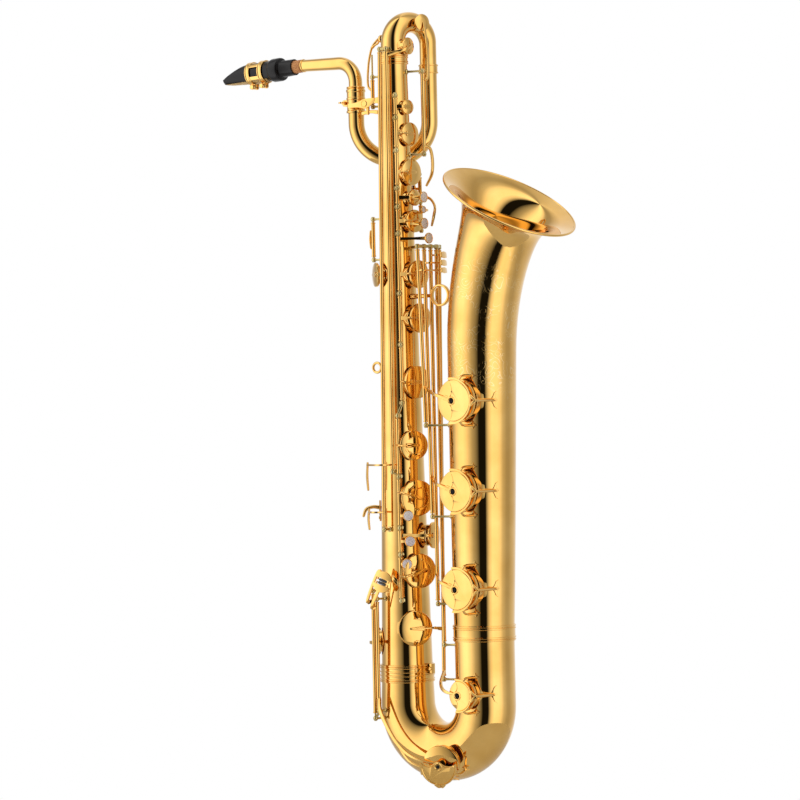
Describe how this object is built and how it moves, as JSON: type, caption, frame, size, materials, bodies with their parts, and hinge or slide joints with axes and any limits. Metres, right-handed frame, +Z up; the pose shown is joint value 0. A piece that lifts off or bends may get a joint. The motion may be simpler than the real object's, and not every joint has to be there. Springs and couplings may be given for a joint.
{
  "type": "baritone saxophone",
  "caption": "Low-A baritone saxophone: conical body, coiled top, bottom bow and flared bell, with hinged key cups, guards, neck and mouthpiece.",
  "frame": {"origin": "centre of the strap ring's eye, on the player's side of the body tube", "axes": "+Z up along the body tube, +X from the body tube to the bell, +Y the player's left"},
  "size_m": [0.5282, 0.1768, 0.9813],
  "materials": {
    "lacquered_brass": "gloss lacquer",
    "rod_steel": "polished",
    "ebonite": "polished",
    "cork": "waxed",
    "cane": "matte",
    "roller_black": "gloss"
  },
  "bodies": {
    "horn": {"body_tube": "lacquered_brass", "bottom_bow": "lacquered_brass", "bell": "lacquered_brass", "upper_loop_tube": "lacquered_brass", "top_bow": "lacquered_brass", "body_bow_collar": "lacquered_brass", "neck_receiver": "lacquered_brass", "neck_brace_plate": "lacquered_brass", "bell_brace_ring": "lacquered_brass", "low_b_flat_guard": "lacquered_brass", "low_b_guard": "lacquered_brass", "low_a_guard": "lacquered_brass", "low_c_sharp_guard": "lacquered_brass", "low_c_guard": "lacquered_brass", "stack_rods_and_posts": "rod_steel", "long_rods_and_posts": "rod_steel", "palm_rod_and_posts": "rod_steel", "left_rod_and_posts": "rod_steel", "octave_rods_and_posts": "rod_steel", "table_rods_and_posts": "rod_steel", "bell_key_rods": "rod_steel", "strap_ring": "lacquered_brass", "thumb_hook": "lacquered_brass", "thumb_rest": "roller_black"},
    "neck": {"neck": "lacquered_brass", "neck_cork": "cork"},
    "mouthpiece": {"mouthpiece": "ebonite", "reed": "cane", "ligature": "lacquered_brass"},
    "ligature_screw_1": {"ligature_screw_1": "lacquered_brass"},
    "ligature_screw_2": {"ligature_screw_2": "lacquered_brass"},
    "neck_clamp_screw": {"neck_clamp_screw": "lacquered_brass"},
    "palm_f_key": {"palm_f_key": "lacquered_brass"},
    "palm_e_flat_key": {"palm_e_flat_key": "lacquered_brass"},
    "palm_d_key": {"palm_d_key": "lacquered_brass"},
    "b_key": {"b_key": "lacquered_brass"},
    "a_key": {"a_key": "lacquered_brass"},
    "g_key": {"g_key": "lacquered_brass"},
    "upper_f_sharp_key": {"upper_f_sharp_key": "lacquered_brass"},
    "g_sharp_key": {"g_sharp_key": "lacquered_brass"},
    "f_sharp_key": {"f_sharp_key": "lacquered_brass"},
    "f_key": {"f_key": "lacquered_brass"},
    "e_key": {"e_key": "lacquered_brass"},
    "d_key": {"d_key": "lacquered_brass"},
    "high_e_key": {"high_e_key": "lacquered_brass"},
    "side_c_key": {"side_c_key": "lacquered_brass"},
    "high_f_sharp_key": {"high_f_sharp_key": "lacquered_brass"},
    "side_trill_key": {"side_trill_key": "lacquered_brass"},
    "octave_key": {"octave_key": "lacquered_brass"},
    "e_flat_key": {"e_flat_key": "lacquered_brass"},
    "low_c_key": {"low_c_key": "lacquered_brass"},
    "low_b_flat_key": {"low_b_flat_key": "lacquered_brass"},
    "low_b_key": {"low_b_key": "lacquered_brass"},
    "low_a_key": {"low_a_key": "lacquered_brass"},
    "low_d_key": {"low_d_key": "lacquered_brass"},
    "low_c_sharp_key": {"low_c_sharp_key": "lacquered_brass"},
    "octave_thumb_lever": {"octave_thumb_lever": "lacquered_brass"},
    "e_flat_roller": {"e_flat_roller": "roller_black"},
    "bis_key": {"bis_key": "lacquered_brass"},
    "low_c_roller": {"low_c_roller": "roller_black"}
  },
  "joints": [
    {"name": "neck_turn", "type": "hinge", "parent": "horn", "child": "neck", "pos_m": [-0.0242, 0, 0.34], "axis": [0, 0, 1], "range_deg": [-90, 90]},
    {"name": "mouthpiece_slide", "type": "slide", "parent": "neck", "child": "mouthpiece", "axis": [-0.9988, 0, -0.0499], "range_m": [-0.008, 0.01]},
    {"name": "palm_f_turn", "type": "hinge", "parent": "horn", "child": "palm_f_key", "pos_m": [0.05442, -0.0223, 0.33], "axis": [0.0123, -0.0157, -0.9998], "range_deg": [0, 9.77], "stiffness_Nm_per_rad": 0.6, "springref_deg": -20.05},
    {"name": "palm_e_flat_turn", "type": "hinge", "parent": "horn", "child": "palm_e_flat_key", "pos_m": [0.05484, -0.02284, 0.2956], "axis": [0.0123, -0.0157, -0.9998], "range_deg": [0, 8.48], "stiffness_Nm_per_rad": 0.6, "springref_deg": -20.05},
    {"name": "palm_d_turn", "type": "hinge", "parent": "horn", "child": "palm_d_key", "pos_m": [0.05544, -0.02361, 0.247], "axis": [0.0123, -0.0157, -0.9998], "range_deg": [0, 8.21], "stiffness_Nm_per_rad": 0.6, "springref_deg": -20.05},
    {"name": "b_turn", "type": "hinge", "parent": "horn", "child": "b_key", "pos_m": [0.05584, -0.02412, 0.2144], "axis": [0.0123, -0.0157, -0.9998], "range_deg": [-5.01, 0], "stiffness_Nm_per_rad": 0.6, "springref_deg": 20.05},
    {"name": "a_turn", "type": "hinge", "parent": "horn", "child": "a_key", "pos_m": [0.05621, -0.02459, 0.1846], "axis": [0.0123, -0.0157, -0.9998], "range_deg": [-6.21, 0], "stiffness_Nm_per_rad": 0.6, "springref_deg": 20.05},
    {"name": "g_turn", "type": "hinge", "parent": "horn", "child": "g_key", "pos_m": [0.05704, -0.02565, 0.117], "axis": [0.0123, -0.0157, -0.9998], "range_deg": [-6.62, 0], "stiffness_Nm_per_rad": 0.6, "springref_deg": 20.05},
    {"name": "upper_f_sharp_turn", "type": "hinge", "parent": "horn", "child": "upper_f_sharp_key", "pos_m": [0.05772, -0.02652, 0.0613], "axis": [0.0123, -0.0157, -0.9998], "range_deg": [-6.4, 0], "stiffness_Nm_per_rad": 0.6, "springref_deg": 20.05},
    {"name": "g_sharp_turn", "type": "hinge", "parent": "horn", "child": "g_sharp_key", "pos_m": [0.05872, -0.0278, -0.02], "axis": [0.0123, -0.0157, -0.9998], "range_deg": [0, 7.87], "stiffness_Nm_per_rad": 0.6, "springref_deg": -20.05},
    {"name": "f_sharp_turn", "type": "hinge", "parent": "horn", "child": "f_sharp_key", "pos_m": [0.05491, -0.03368, -0.1], "axis": [0.0092, -0.0174, -0.9998], "range_deg": [-7.26, 0], "stiffness_Nm_per_rad": 0.6, "springref_deg": 20.05},
    {"name": "f_turn", "type": "hinge", "parent": "horn", "child": "f_key", "pos_m": [0.05552, -0.03484, -0.1667], "axis": [0.0092, -0.0174, -0.9998], "range_deg": [-7.4, 0], "stiffness_Nm_per_rad": 0.6, "springref_deg": 20.05},
    {"name": "e_turn", "type": "hinge", "parent": "horn", "child": "e_key", "pos_m": [0.05597, -0.03568, -0.215], "axis": [0.0092, -0.0174, -0.9998], "range_deg": [-4.96, 0], "stiffness_Nm_per_rad": 0.6, "springref_deg": 20.05},
    {"name": "d_turn", "type": "hinge", "parent": "horn", "child": "d_key", "pos_m": [0.05638, -0.03644, -0.259], "axis": [0.0092, -0.0174, -0.9998], "range_deg": [-7.39, 0], "stiffness_Nm_per_rad": 0.6, "springref_deg": 20.05},
    {"name": "high_e_turn", "type": "hinge", "parent": "horn", "child": "high_e_key", "pos_m": [0.04421, -0.02602, 0.404], "axis": [0.0053, -0.019, -0.9998], "range_deg": [0, 6.6], "stiffness_Nm_per_rad": 0.6, "springref_deg": -20.05},
    {"name": "side_c_turn", "type": "hinge", "parent": "horn", "child": "side_c_key", "pos_m": [0.03469, -0.03304, 0.118], "axis": [0.0014, 0.0199, 0.9998], "range_deg": [0, 8.76], "stiffness_Nm_per_rad": 0.6, "springref_deg": -20.05},
    {"name": "high_f_sharp_turn", "type": "hinge", "parent": "horn", "child": "high_f_sharp_key", "pos_m": [0.074, 0.011, 0.376], "axis": [0, 0, -1], "range_deg": [0, 5], "stiffness_Nm_per_rad": 0.6, "springref_deg": -20.05},
    {"name": "side_trill_turn", "type": "hinge", "parent": "horn", "child": "side_trill_key", "pos_m": [0.05624, 0.02463, 0.228], "axis": [0.0085, 0.0109, -0.9999], "range_deg": [0, 5], "stiffness_Nm_per_rad": 0.6, "springref_deg": -20.05},
    {"name": "octave_turn", "type": "hinge", "parent": "horn", "child": "octave_key", "pos_m": [0.00702, -0.00561, 0.398], "axis": [0, 0, 1], "range_deg": [0, 8.66]},
    {"name": "e_flat_turn", "type": "hinge", "parent": "horn", "child": "e_flat_key", "pos_m": [0.01481, -0.04053, -0.35], "axis": [0.0015, 0.0027, 1], "range_deg": [0, 5.62], "stiffness_Nm_per_rad": 0.6, "springref_deg": -20.05},
    {"name": "low_c_turn", "type": "hinge", "parent": "horn", "child": "low_c_key", "pos_m": [0.02105, -0.04154, -0.436], "axis": [-0.0013, -0.0033, -1], "range_deg": [-2.37, 0], "stiffness_Nm_per_rad": 0.6, "springref_deg": 20.05},
    {"name": "low_b_flat_turn", "type": "hinge", "parent": "horn", "child": "low_b_flat_key", "pos_m": [0.09486, -0.02936, -0.0447], "axis": [0.0702, -0.054, -0.9961], "range_deg": [-3.51, 0], "stiffness_Nm_per_rad": 0.6, "springref_deg": 20.05},
    {"name": "low_b_turn", "type": "hinge", "parent": "horn", "child": "low_b_key", "pos_m": [0.09927, -0.02508, -0.1572], "axis": [0.0525, -0.0583, -0.9969], "range_deg": [-3.78, 0], "stiffness_Nm_per_rad": 0.6, "springref_deg": 20.05},
    {"name": "low_a_turn", "type": "hinge", "parent": "horn", "child": "low_a_key", "pos_m": [0.10215, -0.02076, -0.2793], "axis": [0.0408, -0.0596, -0.9974], "range_deg": [-4, 0], "stiffness_Nm_per_rad": 0.6, "springref_deg": 20.05},
    {"name": "low_d_turn", "type": "hinge", "parent": "horn", "child": "low_d_key", "pos_m": [0.10612, -0.01468, -0.3318], "axis": [-0.0435, 0.0653, 0.9969], "range_deg": [0, 5.75], "stiffness_Nm_per_rad": 0.6, "springref_deg": -20.05},
    {"name": "low_c_sharp_turn", "type": "hinge", "parent": "horn", "child": "low_c_sharp_key", "pos_m": [0.101, -0.01, -0.396], "axis": [0.0364, -0.0709, -0.9968], "range_deg": [-3.66, 0], "stiffness_Nm_per_rad": 0.6, "springref_deg": 20.05},
    {"name": "octave_thumb_turn", "type": "hinge", "parent": "horn", "child": "octave_thumb_lever", "pos_m": [0.00234, -0.00487, 0.164], "axis": [0, 0, 1], "range_deg": [-8, 0], "stiffness_Nm_per_rad": 0.6, "springref_deg": 20.05},
    {"name": "bis_turn", "type": "hinge", "parent": "horn", "child": "bis_key", "pos_m": [0.05649, 0.02495, 0.1985], "axis": [0.0085, 0.0109, -0.9999], "range_deg": [0, 4], "stiffness_Nm_per_rad": 0.6, "springref_deg": -20.05},
    {"name": "e_flat_roller_spin", "type": "hinge", "parent": "e_flat_key", "child": "e_flat_roller", "pos_m": [0.03879, -0.05087, -0.27009], "axis": [0.9343, 0.1012, -0.3417], "continuous": true},
    {"name": "low_c_roller_spin", "type": "hinge", "parent": "low_c_key", "child": "low_c_roller", "pos_m": [0.03757, -0.05149, -0.27363], "axis": [0.9343, 0.1012, -0.3417], "continuous": true},
    {"name": "neck_clamp_screw_turn", "type": "hinge", "parent": "horn", "child": "neck_clamp_screw", "pos_m": [-0.0397, 0, 0.342], "axis": [0, 1, 0], "continuous": true},
    {"name": "ligature_screw_1_turn", "type": "hinge", "parent": "mouthpiece", "child": "ligature_screw_1", "pos_m": [-0.17251, 0, 0.37458], "axis": [0, 1, 0], "continuous": true},
    {"name": "ligature_screw_2_turn", "type": "hinge", "parent": "mouthpiece", "child": "ligature_screw_2", "pos_m": [-0.18849, 0, 0.37378], "axis": [0, 1, 0], "continuous": true}
  ],
  "couplings": [
    {"joint": "octave_turn", "follows": "octave_thumb_turn", "ratio": -1.0763}
  ]
}
